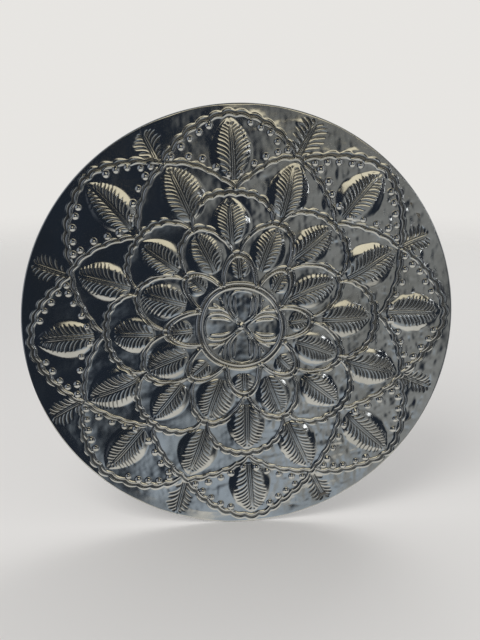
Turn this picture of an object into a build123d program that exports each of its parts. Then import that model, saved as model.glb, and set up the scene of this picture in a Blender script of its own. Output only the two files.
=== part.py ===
from build123d import *
import math
import os

# A round wall disc of thin polished sheet metal, embossed with rings of feathered leaves. Its edge is
# folded back over a flat steel ring. The disc stands upright in the XZ plane: +Z is up, the embossed
# face looks along -Y, and the flat back of the hem lies in the plane Y = 0, with the origin at its
# centre. Lengths are millimetres and angles are degrees.

# Disc and edge
DISC_RADIUS = 215.0
SHEET_THICKNESS = 0.6
RING_THICKNESS = 1.4
RING_WIDTH = 9.0
HEM_WIDTH = 10.0

# Embossed pattern: eight petals in each row, and every second row turned by half a petal
PETALS = 8
PETAL_ANGLE = 360 / PETALS
FIRST_PETAL_ANGLE = 3.0
LEAF_HEIGHT = 1.5
LEAF_SLOPE = 55.0
LINE_HEIGHT = 0.8
LINE_WIDTH = 2.6
BEAD_RADIUS = 2.3
BEAD_HEIGHT = 1.1
BEAD_TOP_RADIUS = 1.0

# Centre flower and the two raised rings round it, as shares of the disc radius
FLOWER_LEAVES = 4
FLOWER_LEAF = (0.030, 0.170, 0.050)
MEDALLION_RINGS = (0.187, 0.207)

# Rows of petals from the centre outwards: is it turned by half a petal, then the leaf's base, tip and
# half width, and the valley and tip of the line round the petal, as shares of the disc radius
ROWS = (
    (False, 0.262, 0.325, 0.034, 0.245, 0.348),
    (True, 0.325, 0.470, 0.052, 0.375, 0.508),
    (False, 0.440, 0.600, 0.058, 0.530, 0.635),
    (True, 0.575, 0.780, 0.075, 0.660, 0.812),
    (False, 0.735, 0.935, 0.075, 0.835, 0.965),
)

# Beads follow the lines of the two outer rows, each row inside its line
BEADED_ROWS = (3, 4)
BEAD_SHARES = (0.24, 0.38, 0.52, 0.66, 0.80)
BEAD_INSET = 0.030

# Depths along Y
EDGE_THICKNESS = 2 * SHEET_THICKNESS + RING_THICKNESS
FRONT = -EDGE_THICKNESS
WEB_BACK = FRONT + SHEET_THICKNESS
BEND_RADIUS = EDGE_THICKNESS / 2
BEND_CENTRE = DISC_RADIUS - BEND_RADIUS
HEM_INNER_RADIUS = BEND_CENTRE - HEM_WIDTH

front_plane = Plane(origin=(0, FRONT, 0), x_dir=(1, 0, 0), z_dir=(0, -1, 0))
back_plane = front_plane.offset(-SHEET_THICKNESS)


def arch_point(valley, tip, share, inset=0.0):
    """A point of the line round a petal along +X, from its valley (share 0) to its tip (share 1)."""
    turn = math.radians(90 * share)
    angle = math.radians(PETAL_ANGLE / 2) * math.cos(turn)
    radius = (valley + (tip - valley) * math.sin(turn) - inset) * DISC_RADIUS
    return (radius * math.cos(angle), radius * math.sin(angle))


def leaf_shape(base, tip, half_width):
    """A leaf along +X, pointed at both ends."""
    start = (base * DISC_RADIUS, 0)
    end = (tip * DISC_RADIUS, 0)
    middle = (base + tip) / 2 * DISC_RADIUS
    with BuildSketch(mode=Mode.PRIVATE) as leaf:
        with BuildLine():
            ThreePointArc(start, (middle, -half_width * DISC_RADIUS), end)
            ThreePointArc(end, (middle, half_width * DISC_RADIUS), start)
        make_face()
    return leaf.sketch


def arch_shape(valley, tip, width):
    """The line round a petal: two curved strokes that meet at its tip."""
    with BuildSketch(mode=Mode.PRIVATE) as arch:
        with BuildLine():
            ThreePointArc(*[arch_point(valley, tip, share) for share in (0, 0.5, 1)])
        trace(line_width=width)
        mirror(about=Plane.XZ)
    return arch.sketch


def raised_leaf(base, tip, half_width):
    """A leaf pad standing on the XY plane, with sloping sides and a flat top."""
    with BuildPart(mode=Mode.PRIVATE) as pad:
        with BuildSketch():
            add(leaf_shape(base, tip, half_width))
        extrude(amount=LEAF_HEIGHT, taper=LEAF_SLOPE)
    return pad.part


def row_angle(turned):
    """The angle of a row's first petal."""
    return FIRST_PETAL_ANGLE + (PETAL_ANGLE / 2 if turned else 0)


def lay_out(plane, shapes):
    """Repeat each (shape, first angle, number) round the disc, on one plane."""
    with BuildSketch(plane) as pattern:
        for shape, first_angle, number in shapes:
            with PolarLocations(0, number, first_angle):
                add(shape)
    return pattern.sketch


def sheet_profile():
    """Half the section of the sheet, with the medallion's raised rings and the folded edge."""
    half_width = LINE_WIDTH / 2
    inner, outer = [radius * DISC_RADIUS for radius in MEDALLION_RINGS]
    with BuildSketch() as section:
        with BuildLine():
            Line((0, WEB_BACK), (0, FRONT))
            Line((0, FRONT), (inner - half_width, FRONT))
            ThreePointArc(
                (inner - half_width, FRONT),
                (inner, FRONT - LINE_HEIGHT),
                (inner + half_width, FRONT),
            )
            Line((inner + half_width, FRONT), (outer - half_width, FRONT))
            ThreePointArc(
                (outer - half_width, FRONT),
                (outer, FRONT - LINE_HEIGHT),
                (outer + half_width, FRONT),
            )
            Line((outer + half_width, FRONT), (BEND_CENTRE, FRONT))
            ThreePointArc((BEND_CENTRE, FRONT), (DISC_RADIUS, FRONT + BEND_RADIUS), (BEND_CENTRE, 0))
            Line((BEND_CENTRE, 0), (HEM_INNER_RADIUS, 0))
            Line((HEM_INNER_RADIUS, 0), (HEM_INNER_RADIUS, -SHEET_THICKNESS))
            Line((HEM_INNER_RADIUS, -SHEET_THICKNESS), (BEND_CENTRE, -SHEET_THICKNESS))
            ThreePointArc(
                (BEND_CENTRE, -SHEET_THICKNESS),
                (DISC_RADIUS - SHEET_THICKNESS, FRONT + BEND_RADIUS),
                (BEND_CENTRE, WEB_BACK),
            )
            Line((BEND_CENTRE, WEB_BACK), (outer + half_width, WEB_BACK))
            ThreePointArc(
                (outer + half_width, WEB_BACK),
                (outer, WEB_BACK - LINE_HEIGHT),
                (outer - half_width, WEB_BACK),
            )
            Line((outer - half_width, WEB_BACK), (inner + half_width, WEB_BACK))
            ThreePointArc(
                (inner + half_width, WEB_BACK),
                (inner, WEB_BACK - LINE_HEIGHT),
                (inner - half_width, WEB_BACK),
            )
            Line((inner - half_width, WEB_BACK), (0, WEB_BACK))
        make_face()
    return section.sketch


leaves = [
    (raised_leaf(base, tip, width), row_angle(turned), PETALS)
    for turned, base, tip, width, _, _ in ROWS
]
leaves.append((raised_leaf(*FLOWER_LEAF), FIRST_PETAL_ANGLE, FLOWER_LEAVES))
lines = [
    (arch_shape(valley, tip, LINE_WIDTH), row_angle(turned), PETALS)
    for turned, *_, valley, tip in ROWS
]
groove_width = LINE_WIDTH - 2 * SHEET_THICKNESS
grooves = [
    (arch_shape(valley, tip, groove_width), row_angle(turned), PETALS)
    for turned, *_, valley, tip in ROWS
]

with BuildPart() as embossed_sheet:
    with BuildSketch():
        add(sheet_profile())
    revolve(axis=Axis.Y)
    for plane, mode in ((front_plane, Mode.ADD), (back_plane, Mode.SUBTRACT)):
        for pad, first_angle, number in leaves:
            with Locations(plane):
                with PolarLocations(0, number, first_angle):
                    add(pad, mode=mode)
        for row in BEADED_ROWS:
            turned, *_, valley, tip = ROWS[row]
            left = [arch_point(valley, tip, share, BEAD_INSET) for share in BEAD_SHARES]
            right = [(x, -y) for x, y in left]
            with Locations(plane):
                with PolarLocations(0, PETALS, row_angle(turned)):
                    with Locations(*left, *right):
                        Cone(
                            BEAD_RADIUS,
                            BEAD_TOP_RADIUS,
                            BEAD_HEIGHT,
                            align=(Align.CENTER, Align.CENTER, Align.MIN),
                            mode=mode,
                        )
    extrude(lay_out(front_plane, lines), amount=LINE_HEIGHT)
    extrude(lay_out(back_plane, grooves), amount=LINE_HEIGHT, mode=Mode.SUBTRACT)
embossed_sheet.part.label = "embossed_sheet"

with BuildPart() as edge_ring:
    with BuildSketch(front_plane.offset(-SHEET_THICKNESS - RING_THICKNESS)):
        Circle(BEND_CENTRE)
        Circle(BEND_CENTRE - RING_WIDTH, mode=Mode.SUBTRACT)
    extrude(amount=RING_THICKNESS)
edge_ring.part.label = "edge_ring"

os.makedirs("parts", exist_ok=True)
export_step(embossed_sheet.part, "parts/embossed_sheet.step")
export_step(edge_ring.part, "parts/edge_ring.step")
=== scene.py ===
import math

import bpy
import numpy as np
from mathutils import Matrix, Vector


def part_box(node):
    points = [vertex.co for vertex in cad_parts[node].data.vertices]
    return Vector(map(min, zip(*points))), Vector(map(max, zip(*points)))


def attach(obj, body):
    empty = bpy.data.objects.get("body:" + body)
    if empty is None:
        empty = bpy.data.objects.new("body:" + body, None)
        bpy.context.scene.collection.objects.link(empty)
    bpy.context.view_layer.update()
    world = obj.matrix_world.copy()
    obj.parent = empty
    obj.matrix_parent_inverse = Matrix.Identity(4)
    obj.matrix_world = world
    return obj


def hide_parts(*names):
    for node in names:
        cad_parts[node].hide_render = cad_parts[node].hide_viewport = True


# A wall disc of thin polished sheet metal, embossed by hand. Its relief is drawn as a height map:
# raised leaves, petal lines and beads, with the leaves' veins cut in. One closed sheet mesh then takes
# its heights from the map on both faces. Lengths are metres. The pattern's radii are shares of the
# disc's radius, and its angles are degrees, counted from +X towards +Z as seen from the front.

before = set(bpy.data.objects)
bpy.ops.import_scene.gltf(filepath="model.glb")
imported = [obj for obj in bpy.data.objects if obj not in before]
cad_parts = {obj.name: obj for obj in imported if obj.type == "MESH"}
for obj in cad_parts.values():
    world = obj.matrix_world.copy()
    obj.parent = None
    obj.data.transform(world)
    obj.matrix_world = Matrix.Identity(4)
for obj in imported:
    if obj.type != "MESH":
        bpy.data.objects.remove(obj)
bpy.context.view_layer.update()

# Sheet and folded edge, the sizes of the CAD node
LOW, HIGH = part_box("embossed_sheet")
RADIUS = (HIGH.z - LOW.z) / 2
SHEET = 0.0006
EDGE_DEPTH = 0.0026
HEM_WIDTH = 0.010
BEND = EDGE_DEPTH / 2
BEND_CENTRE = RADIUS - BEND
HEM_INNER = BEND_CENTRE - HEM_WIDTH
HEM_LIP = 0.00015
WEB_GAP = 0.0004

# Meshes. The back has half as many cells to a side as the front.
FRONT_CELLS = 720
BACK_CELLS = FRONT_CELLS // 2
MAP_STEP = 0.00025
MAP_MARGIN = 1.01
BEND_STEPS = 10
INNER_BEND_STEPS = 5

# Pattern
PETALS = 8
PETAL_ANGLE = 360 / PETALS
FIRST_PETAL = 3.0
FLANK = 0.47
LINE_HALF_WIDTH = 0.0011
LINE_HEIGHT = 0.00068
BAND_HALF_WIDTH = 0.0050
BAND_HEIGHT = 0.00035
SCALLOP_DEPTH = 0.0009
MIDRIB_HALF_WIDTH = 0.0019
MIDRIB_DEPTH = 0.00035
MIDRIB_SIDE_DEPTH = 0.00038
BARB_HALF_WIDTH = 0.0011
BARB_DEPTH = 0.00034
BEAD_RADIUS = 0.0030
BEAD_HEIGHT = 0.0014
MEDALLION_POINTS = 181

# Unevenness: how far a hand strays from a line, and the heights of the sheet's waves and hammer marks
HAND_DRIFT = 0.0013
SWELL_HEIGHT = 0.00032
RIPPLE_HEIGHT = 0.00014
WORKED_RIPPLE_HEIGHT = 0.00010
DENT_HEIGHT = 0.00013
MARK_HEIGHT = 0.00004
rng = np.random.default_rng(11)

# Each row of petals, from the centre outwards. "turned" rows lie between the petals of the row inside
# them. A leaf runs from a base to a tip. A petal's line runs from its valleys, reach degrees either
# side, up to its tip, and a second line runs inside it by the gap. All are shares of the radius, apart
# from the leaf's height.
ROWS = (
    dict(turned=0, leaf=(0.230, 0.330), width=0.054, barbs=6, height=0.0008,
         valley=0.226, tip=0.352, reach=20.5, round=1.8, point=1.0, gap=0.024, scallops=0, beads=0),
    dict(turned=1, leaf=(0.274, 0.482), width=0.086, barbs=11, height=0.0014,
         valley=0.362, tip=0.510, reach=20.5, round=1.9, point=0.9, gap=0.022, scallops=6, beads=0),
    dict(turned=0, leaf=(0.388, 0.610), width=0.088, barbs=11, height=0.0016,
         valley=0.520, tip=0.640, reach=21.0, round=2.2, point=0.7, gap=0.022, scallops=9, beads=0),
    dict(turned=1, leaf=(0.535, 0.787), width=0.098, barbs=12, height=0.0018,
         valley=0.662, tip=0.818, reach=21.5, round=1.2, point=1.0, gap=0.018, scallops=9, beads=4),
    dict(turned=0, leaf=(0.680, 0.945), width=0.096, barbs=12, height=0.0017,
         valley=0.832, tip=0.975, reach=21.5, round=1.6, point=1.0, gap=0.022, scallops=11, beads=5),
)


# ---------------------------------------------------------------- height map

class Relief:
    """Height layers over the disc's square, in metres."""

    def __init__(self):
        half = RADIUS * MAP_MARGIN
        self.axis = np.arange(-half, half + MAP_STEP, MAP_STEP)
        size = len(self.axis)
        self.leaves = np.zeros((size, size), np.float32)
        self.lines = np.zeros((size, size), np.float32)
        self.bands = np.zeros((size, size), np.float32)
        self.cuts = np.zeros((size, size), np.float32)

    def window(self, points, margin):
        """The part of the map within margin of the points, as slices and its x and z."""
        low = np.searchsorted(self.axis, points.min(0) - margin)
        high = np.searchsorted(self.axis, points.max(0) + margin)
        xs, zs = self.axis[low[0]:high[0]], self.axis[low[1]:high[1]]
        return (slice(low[1], high[1]), slice(low[0], high[0])), *np.meshgrid(xs, zs)

    def stroke(self, layer, points, half_widths, heights):
        """A rounded stroke along the points, with its own half width and height at each."""
        for a, b, wa, wb, ha, hb in zip(
            points, points[1:], half_widths, half_widths[1:], heights, heights[1:]
        ):
            part, x, z = self.window(np.array([a, b]), max(wa, wb))
            along = b - a
            t = ((x - a[0]) * along[0] + (z - a[1]) * along[1]) / max(along @ along, 1e-12)
            t = np.clip(t, 0, 1)
            gap = np.hypot(x - a[0] - t * along[0], z - a[1] - t * along[1])
            share = np.clip(1 - (gap / (wa + (wb - wa) * t)) ** 2, 0, 1)
            height = (ha + (hb - ha) * t) * share ** 1.5
            np.maximum(layer[part], height, out=layer[part])

    def bead(self, centre, radius, height):
        """A round punched bead."""
        part, x, z = self.window(centre[None], radius)
        share = np.clip(1 - ((x - centre[0]) ** 2 + (z - centre[1]) ** 2) / radius ** 2, 0, 1)
        np.maximum(self.lines[part], height * share ** 0.8, out=self.lines[part])


def polar(radius_share, angle):
    """Points of the pattern, in metres, from shares of the radius and angles in degrees."""
    radius = np.asarray(radius_share, float) * RADIUS
    angle = np.radians(angle)
    return np.stack([radius * np.cos(angle), radius * np.sin(angle)], -1)


def smooth_noise(count, wavelength):
    """A wavy surface: a sum of sine waves in all directions, about 1 at its highest."""
    directions = rng.uniform(0, 2 * math.pi, count)
    waves = 2 * math.pi / (wavelength * rng.uniform(0.7, 1.5, count))
    phases = rng.uniform(0, 2 * math.pi, count)

    def value(x, z):
        total = 0
        for direction, wave, phase in zip(directions, waves, phases):
            total = total + np.sin(wave * (x * math.cos(direction) + z * math.sin(direction)) + phase)
        return total / math.sqrt(count)

    return value


drift_x = smooth_noise(5, 0.090)
drift_z = smooth_noise(5, 0.090)


def by_hand(points):
    """Moves points a little, as a hand that follows a drawn line does."""
    x, z = points[..., 0], points[..., 1]
    return points + HAND_DRIFT * np.stack([drift_x(x, z), drift_z(x, z)], -1)


def petal_line(row, offset):
    """The line round one petal, valley to valley, as radius shares and angles from the petal's axis."""
    turn = np.linspace(-1, 1, 121)
    rise = (1 - np.abs(turn) ** row["round"]) ** row["point"]
    radius = row["valley"] + (row["tip"] - row["valley"]) * rise - offset
    angle = row["reach"] * turn
    if row["scallops"]:
        wave = np.abs(np.sin(math.pi * row["scallops"] * (turn + 1) / 2))
        radius = radius + SCALLOP_DEPTH * row["scallops"] * (wave - 0.5)
    return radius, angle


def emboss_petal_lines(relief, row, axis):
    """The two lines round a petal and the band between them. The lines swell in the middle of each
    scallop, and the inner line is the bolder one."""
    for offset, thick, thin in ((0.0, 0.85, 0.42), (row["gap"], 1.25, 0.65)):
        radius, angle = petal_line(row, offset)
        points = by_hand(polar(radius, axis + angle))
        if row["scallops"]:
            wave = np.abs(np.sin(np.linspace(0, math.pi * row["scallops"], len(radius))))
            swell = thin + (1 - thin) * wave
        else:
            swell = np.ones(len(radius))
        swell = thick * swell
        relief.stroke(relief.lines, points, LINE_HALF_WIDTH * swell, LINE_HEIGHT * swell)
    radius, angle = petal_line(row, 0.5 * row["gap"])
    points = by_hand(polar(radius, axis + angle))
    even = np.ones(len(points))
    relief.stroke(relief.bands, points, BAND_HALF_WIDTH * even, BAND_HEIGHT * even)


class Leaf:
    """A leaf on an axis of the disc. Its own frame has x along its midrib and y across it."""

    def __init__(self, base, tip, axis, width):
        self.start, end = by_hand(polar([base, tip], [axis, axis]))
        self.length = float(np.linalg.norm(end - self.start))
        self.along = (end - self.start) / self.length
        self.across = np.array([-self.along[1], self.along[0]])
        self.width = width * RADIUS

    def place(self, x, y):
        """Map points from the leaf's own frame."""
        return self.start + np.outer(x, self.along) + np.outer(y, self.across)

    def half_width(self, share):
        """Half the leaf's width at a share of its length: round at its base, pointed at its tip."""
        share = np.clip(share, 0, 1)
        return self.width * (share / 0.42) ** 0.55 * ((1 - share) / 0.58) ** 0.76

    def puff(self, relief, height):
        """The raised body: nearly flat where the veins are, with a soft slope down to its edge."""
        edge = 1.1 * self.width
        corners = self.place([0, 0, self.length, self.length], [-edge, edge, -edge, edge])
        part, px, pz = relief.window(corners, 0.001)
        dx, dz = px - self.start[0], pz - self.start[1]
        x = (dx * self.along[0] + dz * self.along[1]) / self.length
        y = dx * self.across[0] + dz * self.across[1]
        inside = (x > 0.001) & (x < 0.999)
        width = np.where(inside, self.half_width(x), 0) + 1e-6
        share = np.clip(np.abs(y) / (1.08 * width), 0, 1)
        rise = np.clip((1 - share) / FLANK, 0, 1)
        crown = 0.90 * rise * rise * (3 - 2 * rise) + 0.10 * (1 - share ** 2)
        body = np.where(inside, height * crown * np.clip(width / self.width, 0, 1) ** 1.2, 0)
        np.maximum(relief.leaves[part], body, out=relief.leaves[part])

    def vein(self, relief, barbs, thick=1.0):
        """The double midrib, and curved barbs on both sides of it."""
        x = np.linspace(0.02, 1.0, 24) * self.length
        taper = np.clip((1 - x / self.length) * 4, 0.35, 1)
        relief.stroke(relief.cuts, by_hand(self.place(x, 0 * x)), 0.0007 * taper, MIDRIB_DEPTH * taper)
        for side in (-1, 1):
            line = by_hand(self.place(x, side * MIDRIB_HALF_WIDTH * taper))
            taper_side = taper * thick
            relief.stroke(relief.cuts, line, 0.0008 * taper_side, MIDRIB_SIDE_DEPTH * taper_side)
            spread = rng.uniform(0.68, 0.90)
            for i in range(barbs):
                share = 0.02 + 0.91 * (i + 0.15 * side + rng.uniform(-0.14, 0.14)) / barbs
                self.barb(relief, share, side, spread, thick)

    def barb(self, relief, share, side, spread, thick):
        """One curved barb: it leaves the midrib along it, and turns outwards to a point."""
        reach = spread * float(self.half_width(share + 0.10)) * rng.uniform(0.90, 1.08)
        x0 = share * self.length
        bend = np.array([[0, MIDRIB_HALF_WIDTH], [0.58 * reach, 0.20 * reach], [0.76 * reach, reach]])
        t = np.linspace(0, 1, 8)[:, None]
        curve = (1 - t) ** 2 * bend[0] + 2 * t * (1 - t) * bend[1] + t ** 2 * bend[2]
        points = by_hand(self.place(x0 + curve[:, 0], side * curve[:, 1]))
        swell = np.array([0.35, 0.60, 0.80, 0.95, 1.05, 1.10, 1.00, 0.55]) * thick
        relief.stroke(relief.cuts, points, BARB_HALF_WIDTH * swell, BARB_DEPTH * swell)


def emboss_rows(relief):
    for row in ROWS:
        for i in range(PETALS):
            axis = FIRST_PETAL + PETAL_ANGLE * (i + row["turned"] / 2) + rng.normal(0, 0.8)
            emboss_petal_lines(relief, row, axis)
            leaf = Leaf(*row["leaf"], axis, row["width"] * rng.uniform(0.90, 1.07))
            leaf.puff(relief, row["height"])
            leaf.vein(relief, row["barbs"])
            emboss_beads(relief, row, axis)


def emboss_beads(relief, row, axis):
    """Beads beside both halves of a petal's line: outside it in turned rows, inside it in others."""
    for side in (-1, 1):
        for k in range(row["beads"]):
            if row["turned"]:
                turn, offset = 0.90 - 0.19 * k, -0.024
            else:
                turn, offset = 0.86 - 0.145 * k, 0.042
            rise = (1 - turn ** row["round"]) ** row["point"]
            radius = row["valley"] + (row["tip"] - row["valley"]) * rise - offset
            centre = by_hand(polar(radius, axis + side * row["reach"] * turn))
            centre = centre + rng.normal(0, 0.0006, 2)
            relief.bead(centre, BEAD_RADIUS * rng.uniform(0.85, 1.15), BEAD_HEIGHT)


def emboss_sprigs(relief):
    """Small open sprigs between the outermost petals, up to the rim."""
    for i in range(PETALS):
        axis = FIRST_PETAL + PETAL_ANGLE * (i + 0.5) + rng.normal(0, 0.5)
        sprig = Leaf(0.826, 0.990, axis, 0.078)
        sprig.vein(relief, 7, 1.05)


def emboss_medallion(relief):
    """Two rings round a four-petalled flower, with small sprays between its petals. Each half of a
    petal has its outline, which closes at the tip, and an open line inside and one outside it."""
    angle = np.linspace(0, 360, MEDALLION_POINTS)
    even = np.ones(MEDALLION_POINTS)
    for share, thick in ((0.207, 0.80), (0.187, 1.15)):
        points = by_hand(polar(share * even, angle))
        relief.stroke(relief.lines, points, 0.0014 * thick * even, 0.0010 * thick * even)
    points = by_hand(polar(0.197 * even, angle))
    relief.stroke(relief.bands, points, 0.9 * BAND_HALF_WIDTH * even, BAND_HEIGHT * even)
    t = np.linspace(0, 1, 40)
    for i in range(4):
        axis = 90 * i
        petal = Leaf(0.016, 0.176, axis, 0.060)
        for side in (-1, 1):
            for wide, start, end in ((1.0, 0.0, 1.0), (0.62, 0.25, 0.80), (1.36, 0.10, 0.88)):
                x = start + (end - start) * t
                bulge = np.sin(np.clip(x / 0.55, 0, 1) * math.pi / 2) ** 0.85
                if wide == 1.0:
                    bulge = bulge * np.sqrt(1 - np.clip((x - 0.5) / 0.5, 0, 1) ** 4)
                points = by_hand(petal.place(x * petal.length, side * wide * petal.width * bulge))
                swell = 0.55 + 0.45 * np.sin(math.pi * t)
                relief.stroke(relief.lines, points, 0.0011 * swell, 0.0008 * swell)
        for turn in (-7, 7):
            radii = np.linspace(0.085, 0.160, 12)
            points = by_hand(polar(radii, axis + 45 + turn * np.linspace(0.2, 1.0, 12)))
            swell = np.linspace(0.5, 1.0, 12)
            relief.stroke(relief.lines, points, 0.0010 * swell, 0.0007 * swell)
    relief.bead(np.array([0.0, 0.0]), 0.0036, 0.0011)


relief = Relief()
emboss_rows(relief)
emboss_sprigs(relief)
emboss_medallion(relief)


def soften(layer, cells):
    """The layer blurred over about this many cells, as sheet metal rounds off what is pressed in."""
    for axis in (0, 1, 0, 1, 0, 1):
        total = np.cumsum(np.moveaxis(layer, axis, 0), 0, dtype=np.float64)
        total = np.pad(total, ((cells + 1, cells), (0, 0)), "edge")
        total[:cells + 1] = 0
        layer = np.moveaxis((total[2 * cells + 1:] - total[:-2 * cells - 1]) / (2 * cells + 1), 0, axis)
    return layer


# The front follows the raised map, and the back a smoother one, pressed. "hollows" says where the sheet
# is made darker: in the cuts, in the corners and between the double lines. "ground" is the sheet
# between leaves.
patches = smooth_noise(6, 0.120)
swells = smooth_noise(9, 0.085)
ripples = smooth_noise(12, 0.042)
dents = smooth_noise(24, 0.013)
marks = smooth_noise(24, 0.0065)
pillows = soften(relief.bands, 14)
raised = soften(relief.leaves + relief.lines - relief.cuts, 1) + 1.1 * pillows
pressed = soften(raised, 4)
hollows = soften(relief.cuts, 1) / 0.0004 + 0.7 * np.clip(pressed - raised, 0, 0.0002) / 0.0002
hollows += np.clip(0.8 * (relief.bands / BAND_HEIGHT) ** 3 - relief.lines / 0.0004, 0, 1)
ground = np.clip(1 - soften(relief.leaves, 3) / 0.0006, 0.15, 1)


def read_map(layer, x, z):
    """The layer's values at points, from the four cells round each."""
    column = (x - relief.axis[0]) / MAP_STEP
    row = (z - relief.axis[0]) / MAP_STEP
    i, j = column.astype(int), row.astype(int)
    u, v = column - i, row - j
    return (
        layer[j, i] * (1 - u) * (1 - v) + layer[j, i + 1] * u * (1 - v)
        + layer[j + 1, i] * (1 - u) * v + layer[j + 1, i + 1] * u * v
    )


def unevenness(x, z):
    """The sheet's own gentle waves and hammer marks, dying out at the stiff folded edge."""
    inside = np.clip((1 - np.hypot(x, z) / RADIUS) / 0.05, 0, 1)
    worked = 0.6 + 0.4 * np.tanh(4 * x / RADIUS + 0.8 * patches(x, z))
    hammered = DENT_HEIGHT * dents(x, z) + MARK_HEIGHT * marks(x, z)
    hammered = hammered * worked * read_map(ground, x, z)
    rippled = (RIPPLE_HEIGHT + WORKED_RIPPLE_HEIGHT * worked) * ripples(x, z)
    return inside * (SWELL_HEIGHT * swells(x, z) + rippled + hammered)


# ---------------------------------------------------------------- sheet mesh

def disc_grid(cells, radius):
    """A square grid of even cells laid on a disc: its points, its squares and its edge, in turn."""
    ticks = np.linspace(-1, 1, cells + 1)
    u, v = np.meshgrid(ticks, ticks)
    wide = np.abs(u) >= np.abs(v)
    reach = np.where(wide, u, v)
    safe = np.where(reach == 0, 1, reach)
    angle = np.where(wide, math.pi / 4 * v / safe, math.pi / 2 - math.pi / 4 * u / safe)
    points = radius * np.stack([(reach * np.cos(angle)).ravel(), (reach * np.sin(angle)).ravel()], -1)
    index = np.arange((cells + 1) ** 2).reshape(cells + 1, cells + 1)
    corners = [index[:-1, :-1], index[:-1, 1:], index[1:, 1:], index[1:, :-1]]
    squares = np.stack(corners, -1).reshape(-1, 4)
    edge = np.concatenate([index[0, :-1], index[:-1, -1], index[-1, :0:-1], index[:0:-1, 0]])
    return points, squares, edge


def edge_section():
    """The folded edge's section, as (radius, depth), from the front face round to the web's back."""
    section = []
    for step in range(1, BEND_STEPS + 1):
        turn = math.pi * (step / BEND_STEPS - 0.5)
        section.append((BEND_CENTRE + BEND * math.cos(turn), -BEND + BEND * math.sin(turn)))
    section += [
        (HEM_INNER + HEM_WIDTH / 2, 0),
        (HEM_INNER + HEM_LIP, 0),
        (HEM_INNER, -HEM_LIP),
        (HEM_INNER, -SHEET + HEM_LIP),
        (HEM_INNER + HEM_LIP, -SHEET),
        (BEND_CENTRE, -SHEET),
    ]
    inner = BEND - SHEET
    for step in range(1, INNER_BEND_STEPS + 1):
        turn = math.pi * (0.5 - step / INNER_BEND_STEPS)
        section.append((BEND_CENTRE + inner * math.cos(turn), -BEND + inner * math.sin(turn)))
    return section


def make_mesh(name, points, faces):
    """A mesh from an array of points and a list of face arrays, one for each number of corners."""
    mesh = bpy.data.meshes.new(name)
    totals = np.concatenate([np.full(len(f), f.shape[1]) for f in faces])
    corners = np.concatenate([f.ravel() for f in faces])
    mesh.vertices.add(len(points))
    mesh.vertices.foreach_set("co", points.astype(np.float32).ravel())
    mesh.loops.add(len(corners))
    mesh.loops.foreach_set("vertex_index", corners.astype(np.int32))
    mesh.polygons.add(len(totals))
    mesh.polygons.foreach_set("loop_start", (np.cumsum(totals) - totals).astype(np.int32))
    mesh.polygons.foreach_set("use_smooth", np.ones(len(totals), bool))
    mesh.update(calc_edges=True)
    mesh.validate()
    return mesh


def build_sheet():
    """The whole sheet: front face, folded edge and back face, as one closed mesh."""
    front, front_squares, front_edge = disc_grid(FRONT_CELLS, BEND_CENTRE)
    back, back_squares, back_edge = disc_grid(BACK_CELLS, HEM_INNER - WEB_GAP)
    front_height = read_map(raised, front[:, 0], front[:, 1]) + unevenness(front[:, 0], front[:, 1])
    front_depth = -EDGE_DEPTH - front_height
    back_height = read_map(pressed, back[:, 0], back[:, 1]) + unevenness(back[:, 0], back[:, 1])
    back_depth = -EDGE_DEPTH + SHEET - back_height
    turn = np.arctan2(front[front_edge, 1], front[front_edge, 0])
    rings = [
        np.stack([radius * np.cos(turn), np.full(len(turn), depth), radius * np.sin(turn)], -1)
        for radius, depth in edge_section()
    ]
    points = np.concatenate([
        np.stack([front[:, 0], front_depth, front[:, 1]], -1),
        *rings,
        np.stack([back[:, 0], back_depth, back[:, 1]], -1),
    ])
    count = len(turn)
    first = len(front)
    loops = [front_edge] + [first + i * count + np.arange(count) for i in range(len(rings))]
    strips = [np.stack([a, b, np.roll(b, -1), np.roll(a, -1)], -1) for a, b in zip(loops, loops[1:])]
    # The back's edge has half as many points as the last ring, so pentagons join the two
    start = first + len(rings) * count
    inner = start + back_edge
    outer = loops[-1]
    joins = np.stack([
        outer[0::2], inner, np.roll(inner, -1), np.roll(outer, -2)[0::2], outer[1::2],
    ], -1)
    squares = np.concatenate([front_squares, *strips, start + back_squares[:, ::-1]])
    mesh = make_mesh("embossed_metal_sheet", points, [squares, joins])
    recess = np.zeros(len(points), np.float32)
    recess[:first] = read_map(hollows, front[:, 0], front[:, 1])
    mesh.attributes.new("recess", "FLOAT", "POINT").data.foreach_set("value", recess)
    return mesh


# ---------------------------------------------------------------- materials

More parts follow.
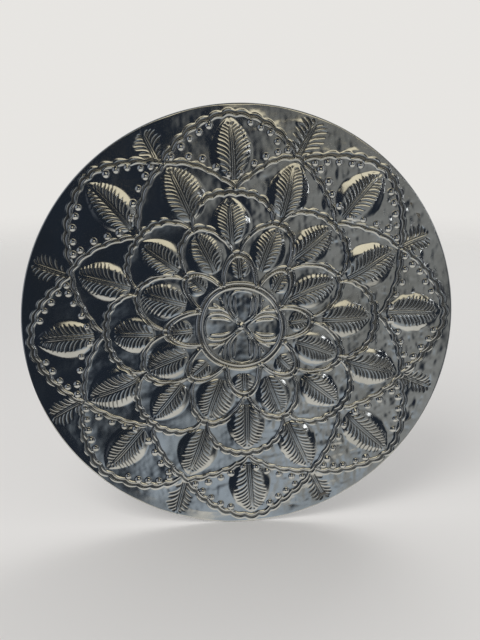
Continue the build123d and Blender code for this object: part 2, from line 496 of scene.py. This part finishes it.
class Nodes:
    """Short calls for building a node tree."""

    def __init__(self, tree):
        self.tree = tree
        tree.nodes.clear()

    def add(self, kind, inputs=None, **settings):
        node = self.tree.nodes.new(kind)
        for key, value in settings.items():
            setattr(node, key, value)
        for key, value in (inputs or {}).items():
            self.feed(node.inputs[key], value)
        return node

    def feed(self, socket, value):
        if isinstance(value, bpy.types.NodeSocket):
            self.tree.links.new(value, socket)
        else:
            socket.default_value = value

    def math(self, operation, a, b=0.0):
        return self.add("ShaderNodeMath", {0: a, 1: b}, operation=operation).outputs[0]

    def step(self, value, low, high, to_low=0.0, to_high=1.0):
        """A smooth step from to_low to to_high as value goes from low to high."""
        inputs = {
            "Value": value, "From Min": low, "From Max": high, "To Min": to_low, "To Max": to_high,
        }
        node = self.add("ShaderNodeMapRange", inputs, interpolation_type="SMOOTHSTEP")
        return node.outputs["Result"]

    def mix(self, share, a, b):
        inputs = {"Factor": share, "A": a, "B": b}
        node = self.add("ShaderNodeMix", data_type="RGBA")
        for socket in node.inputs:
            if socket.type == "RGBA" or socket.identifier == "Factor_Float":
                self.feed(socket, inputs[socket.name])
        return node.outputs[2]

    def noise(self, vector, scale, detail, roughness):
        inputs = {"Vector": vector, "Scale": scale, "Detail": detail, "Roughness": roughness}
        return self.add("ShaderNodeTexNoise", inputs).outputs["Fac"]


def new_material(name):
    material = bpy.data.materials.new(name)
    material.use_nodes = True
    return material, Nodes(material.node_tree)


def polished_sheet_material():
    """Polished sheet metal, mirror-like, with faint stains and scratches, darker and rougher where the
    sheet is recessed.
    """
    material, nodes = new_material("polished_sheet")
    place = nodes.add("ShaderNodeTexCoord").outputs["Object"]
    stains = nodes.noise(place, 14, 5, 0.6)
    specks = nodes.noise(place, 420, 3, 0.6)
    recess = nodes.add("ShaderNodeAttribute", attribute_name="recess").outputs["Fac"]
    # Darker and rougher where the recess map is high: in the cuts, in the corners and between the
    # double lines.
    recess_darkening = nodes.step(recess, 0.20, 0.9, 0.0, 0.75)
    colour = nodes.mix(nodes.step(stains, 0.35, 0.7), (0.60, 0.62, 0.64, 1), (0.50, 0.51, 0.51, 1))
    colour = nodes.mix(recess_darkening, colour, (0.09, 0.09, 0.09, 1))
    rough = nodes.step(stains, 0.3, 0.75, 0.07, 0.13)
    rough = nodes.math("ADD", rough, nodes.math("MULTIPLY", specks, 0.05))
    rough = nodes.math("ADD", rough, nodes.math("MULTIPLY", recess_darkening, 0.25))
    brushed = nodes.add("ShaderNodeMapping", {"Vector": place, "Scale": (1.0, 1.0, 14.0)})
    scratches = nodes.noise(brushed.outputs[0], 160, 4, 0.6)
    hammer = nodes.noise(place, 75, 2, 0.5)
    height = nodes.math("ADD", nodes.math("MULTIPLY", scratches, 0.08), hammer)
    bump = nodes.add("ShaderNodeBump", {"Strength": 0.35, "Distance": 0.0003, "Height": height})
    shader = nodes.add("ShaderNodeBsdfPrincipled", {
        "Base Color": colour, "Metallic": 1.0, "Roughness": rough, "Normal": bump.outputs[0],
    })
    nodes.add("ShaderNodeOutputMaterial", {"Surface": shader.outputs[0]})
    return material


def ring_steel_material():
    """Dull rolled steel for the ring inside the fold."""
    material, nodes = new_material("ring_steel")
    place = nodes.add("ShaderNodeTexCoord").outputs["Object"]
    scale = nodes.noise(place, 60, 4, 0.6)
    colour = nodes.mix(nodes.step(scale, 0.3, 0.7), (0.34, 0.33, 0.32, 1), (0.20, 0.19, 0.18, 1))
    bump = nodes.add("ShaderNodeBump", {"Strength": 0.2, "Distance": 0.0002, "Height": scale})
    shader = nodes.add("ShaderNodeBsdfPrincipled", {
        "Base Color": colour, "Metallic": 1.0, "Roughness": nodes.step(scale, 0.2, 0.8, 0.35, 0.6),
        "Normal": bump.outputs[0],
    })
    nodes.add("ShaderNodeOutputMaterial", {"Surface": shader.outputs[0]})
    return material


# ---------------------------------------------------------------- stage

def pale_floor():
    """A pale floor under the disc, fading out into the background far from it."""
    bpy.ops.mesh.primitive_circle_add(
        vertices=96, radius=4.0, fill_type="NGON", location=(0, 0, -RADIUS)
    )
    floor = bpy.context.object
    floor.name = "studio_floor"
    floor.visible_glossy = False
    material, nodes = new_material("studio_floor")
    place = nodes.add("ShaderNodeTexCoord").outputs["Object"]
    reach = nodes.add("ShaderNodeVectorMath", {0: place}, operation="LENGTH").outputs["Value"]
    shader = nodes.add("ShaderNodeBsdfPrincipled", {
        "Base Color": (0.78, 0.765, 0.74, 1), "Roughness": 0.9,
        "Alpha": nodes.step(reach, 0.6, 3.0, 1.0, 0.0),
    })
    nodes.add("ShaderNodeOutputMaterial", {"Surface": shader.outputs[0]})
    floor.data.materials.append(material)


def studio_colour(nodes):
    """What the metal mirrors, by direction: a dark studio between grey walls, on a pale floor. Its soft
    panels are a grey one on the right, a cool one low down, a warm one overhead and a small bright one.
    The disc's back mirrors a plain grey backdrop instead."""
    way = nodes.add("ShaderNodeTexCoord").outputs["Generated"]
    x, y, z = nodes.add("ShaderNodeSeparateXYZ", {0: way}).outputs
    degrees = 180 / math.pi
    side = nodes.math("MULTIPLY", nodes.math("ARCTAN2", x, nodes.math("MULTIPLY", y, -1.0)), degrees)
    rise = nodes.math("MULTIPLY", nodes.math("ARCSINE", z), degrees)

    def span(value, low, high, soft):
        """1 from low to high, with a soft step at both ends."""
        ends = nodes.step(value, low, low + soft), nodes.step(value, high, high - soft)
        return nodes.math("MULTIPLY", *ends)

    def panel(left, right, low, high, soft):
        """A soft-edged rectangle of the studio, in degrees to the side and up."""
        across = span(side, left, right, soft)
        return nodes.math("MULTIPLY", across, span(rise, low, high, soft))

    left_wall = nodes.math("MULTIPLY", nodes.step(side, -27, -48), nodes.step(rise, -28, -17))
    colour = nodes.mix(left_wall, (0.018, 0.024, 0.034, 1), (0.32, 0.34, 0.37, 1))
    colour = nodes.mix(nodes.step(side, 36, 66), colour, (0.40, 0.40, 0.39, 1))
    grey = nodes.mix(nodes.step(rise, 6, -32), (0.23, 0.23, 0.215, 1), (0.34, 0.34, 0.32, 1))
    grey_panel = nodes.math("MULTIPLY", nodes.step(side, 0, 12), nodes.step(side, 31, 18))
    grey_panel = nodes.math("MULTIPLY", grey_panel, nodes.step(rise, 11, 3))
    colour = nodes.mix(grey_panel, colour, grey)
    colour = nodes.mix(panel(-8, 18, -42, -14, 11), colour, (0.42, 0.47, 0.51, 1))
    colour = nodes.mix(panel(-12, 27, 6, 28, 3), colour, (1.10, 0.98, 0.71, 1))
    colour = nodes.mix(panel(25, 29, -3, 3, 1), colour, (3.5, 3.5, 3.4, 1))
    colour = nodes.mix(nodes.step(rise, -31, -37), colour, (0.78, 0.74, 0.65, 1))
    backdrop = nodes.mix(nodes.step(rise, -20, 60), (0.20, 0.20, 0.21, 1), (0.62, 0.62, 0.61, 1))
    return nodes.mix(nodes.step(y, 0.05, 0.60), colour, backdrop)


def studio_light():
    """The world: a studio for what is mirrored, a pale backdrop for the camera, and soft light."""
    world = bpy.data.worlds.new("studio")
    bpy.context.scene.world = world
    world.use_nodes = True
    nodes = Nodes(world.node_tree)
    path = nodes.add("ShaderNodeLightPath").outputs
    colour = nodes.mix(path["Is Glossy Ray"], (0.55, 0.55, 0.56, 1), studio_colour(nodes))
    colour = nodes.mix(path["Is Camera Ray"], colour, (0.80, 0.785, 0.76, 1))
    background = nodes.add("ShaderNodeBackground", {"Color": colour, "Strength": 1.0})
    nodes.add("ShaderNodeOutputWorld", {"Surface": background.outputs[0]})


def soft_lamp(name, place, size, power):
    """A large square lamp aimed at the disc's foot. It lights the floor and isn't mirrored."""
    light = bpy.data.lights.new(name, "AREA")
    light.shape = "SQUARE"
    light.size = size
    light.energy = power
    lamp = bpy.data.objects.new(name, light)
    lamp.location = place
    lamp.rotation_euler = (Vector((0, 0, -RADIUS)) - Vector(place)).to_track_quat("-Z", "Y").to_euler()
    lamp.visible_glossy = False
    bpy.context.scene.collection.objects.link(lamp)


def camera():
    """The view from a little left of the disc's middle and above it, looking down."""
    data = bpy.data.cameras.new("camera")
    data.sensor_fit = "VERTICAL"
    data.angle = math.radians(44.0)
    data.clip_start = 0.01
    holder = bpy.data.objects.new("camera", data)
    holder.location = Vector((-0.299, -3.550, 0.934)) * RADIUS
    yaw, down = math.radians(4.76), math.radians(14.29)
    holder.rotation_euler = (math.pi / 2 - down, 0, -yaw)
    bpy.context.scene.collection.objects.link(holder)
    bpy.context.scene.camera = holder


# ---------------------------------------------------------------- assembly

sheet = bpy.data.objects.new("embossed_metal_sheet", build_sheet())
bpy.context.scene.collection.objects.link(sheet)
sheet.data.materials.append(polished_sheet_material())
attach(sheet, "root")
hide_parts("embossed_sheet")

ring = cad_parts["edge_ring"]
ring.data.materials.clear()
ring.data.materials.append(ring_steel_material())

pale_floor()
studio_light()
soft_lamp("key_light", (-0.9, -1.4, 1.6), 1.2, 22.0)
soft_lamp("back_light", (0.8, 1.3, 1.4), 1.2, 10.0)
camera()
bpy.context.scene.view_settings.view_transform = "Standard"
